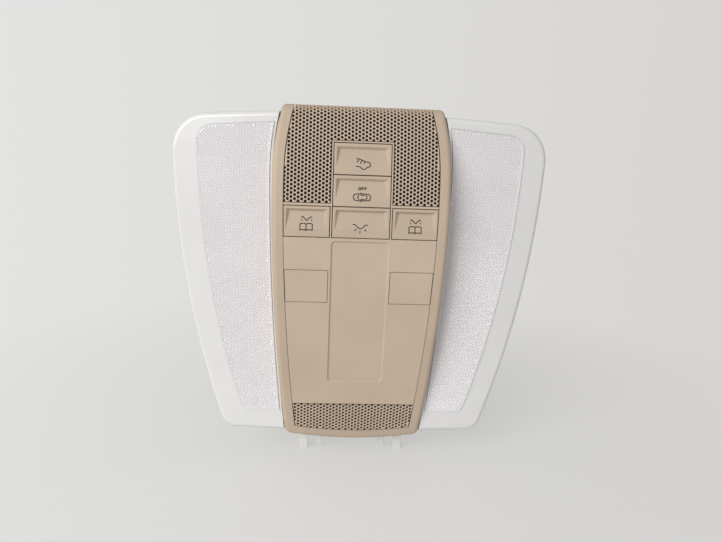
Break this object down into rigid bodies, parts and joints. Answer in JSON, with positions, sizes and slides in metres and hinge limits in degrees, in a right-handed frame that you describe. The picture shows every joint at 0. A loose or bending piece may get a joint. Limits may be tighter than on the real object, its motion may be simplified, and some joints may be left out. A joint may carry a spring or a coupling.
{
  "type": "car interior light",
  "caption": "Overhead lamp unit for a car roof: a beige arched console with push buttons and perforated grilles between two clear lenses in a white frame.",
  "frame": {"origin": "middle of the unit on the plane of the frame's back rim, which seats on the roof lining", "axes": "+Y into the roof, +Z along the panel toward the upper grille, +X to the right as the lenses are seen"},
  "size_m": [0.2434, 0.0508, 0.243],
  "materials": {
    "white_frame": "glossy moulded white",
    "clear_lens": "clear with a fine prism pattern",
    "beige_trim": "fine-grained beige",
    "beige_button": "fine-grained beige with dark brown pictograms",
    "dark_plastic": "moulded black",
    "switch_plastic": "moulded black",
    "plunger_plastic": "moulded white",
    "board": "green laminate",
    "steel": "plain zinc-plated",
    "brass_contacts": "bright",
    "sensor_metal": "satin",
    "white_reflector": "bright white",
    "bulb_glass": "clear",
    "plated_cup": "bright plated",
    "grey_housing": "moulded pale grey"
  },
  "bodies": {
    "lamp_unit": {"board_screws": "steel", "circuit_board": "board", "connector_header": "dark_plastic", "connector_pins": "brass_contacts", "console_trim": "beige_trim", "courtesy_light_switch": "switch_plastic", "fascia_panel": "beige_trim", "housing_screws": "steel", "lamp_frame": "white_frame", "left_blank_cover": "beige_trim", "left_courtesy_bulb": "bulb_glass", "left_lamp_contacts": "brass_contacts", "left_lens": "clear_lens", "left_microphone": "sensor_metal", "left_motion_sensor": "sensor_metal", "left_reading_bulb": "bulb_glass", "left_reading_cup": "plated_cup", "left_reading_switch": "switch_plastic", "left_reflector": "white_reflector", "left_retaining_spring": "steel", "left_sensor_holder": "dark_plastic", "lower_grille": "beige_trim", "motion_alarm_switch": "switch_plastic", "rear_housing": "grey_housing", "right_blank_cover": "beige_trim", "right_courtesy_bulb": "bulb_glass", "right_lamp_contacts": "brass_contacts", "right_lens": "clear_lens", "right_microphone": "sensor_metal", "right_motion_sensor": "sensor_metal", "right_reading_bulb": "bulb_glass", "right_reading_cup": "plated_cup", "right_reading_switch": "switch_plastic", "right_reflector": "white_reflector", "right_retaining_spring": "steel", "right_sensor_holder": "dark_plastic", "tow_alarm_switch": "switch_plastic", "upper_grille": "beige_trim"},
    "tow_alarm_key": {"tow_alarm_button": "beige_button", "tow_alarm_plunger": "plunger_plastic"},
    "motion_alarm_key": {"motion_alarm_button": "beige_button", "motion_alarm_plunger": "plunger_plastic"},
    "courtesy_light_key": {"courtesy_light_button": "beige_button", "courtesy_light_plunger": "plunger_plastic"},
    "left_reading_key": {"left_reading_button": "beige_button", "left_reading_plunger": "plunger_plastic"},
    "right_reading_key": {"right_reading_button": "beige_button", "right_reading_plunger": "plunger_plastic"}
  },
  "joints": [
    {"name": "tow_alarm_press", "type": "slide", "parent": "lamp_unit", "child": "tow_alarm_key", "axis": [0, 1, 0], "range_m": [0, 0.0015], "stiffness_N_per_m": 700, "springref_m": -0.002},
    {"name": "motion_alarm_press", "type": "slide", "parent": "lamp_unit", "child": "motion_alarm_key", "axis": [0, 1, 0], "range_m": [0, 0.0015], "stiffness_N_per_m": 700, "springref_m": -0.002},
    {"name": "courtesy_light_press", "type": "slide", "parent": "lamp_unit", "child": "courtesy_light_key", "axis": [0, 1, 0], "range_m": [0, 0.0015], "stiffness_N_per_m": 700, "springref_m": -0.002},
    {"name": "left_reading_press", "type": "slide", "parent": "lamp_unit", "child": "left_reading_key", "axis": [0, 1, 0], "range_m": [0, 0.0015], "stiffness_N_per_m": 700, "springref_m": -0.002},
    {"name": "right_reading_press", "type": "slide", "parent": "lamp_unit", "child": "right_reading_key", "axis": [0, 1, 0], "range_m": [0, 0.0015], "stiffness_N_per_m": 700, "springref_m": -0.002}
  ]
}
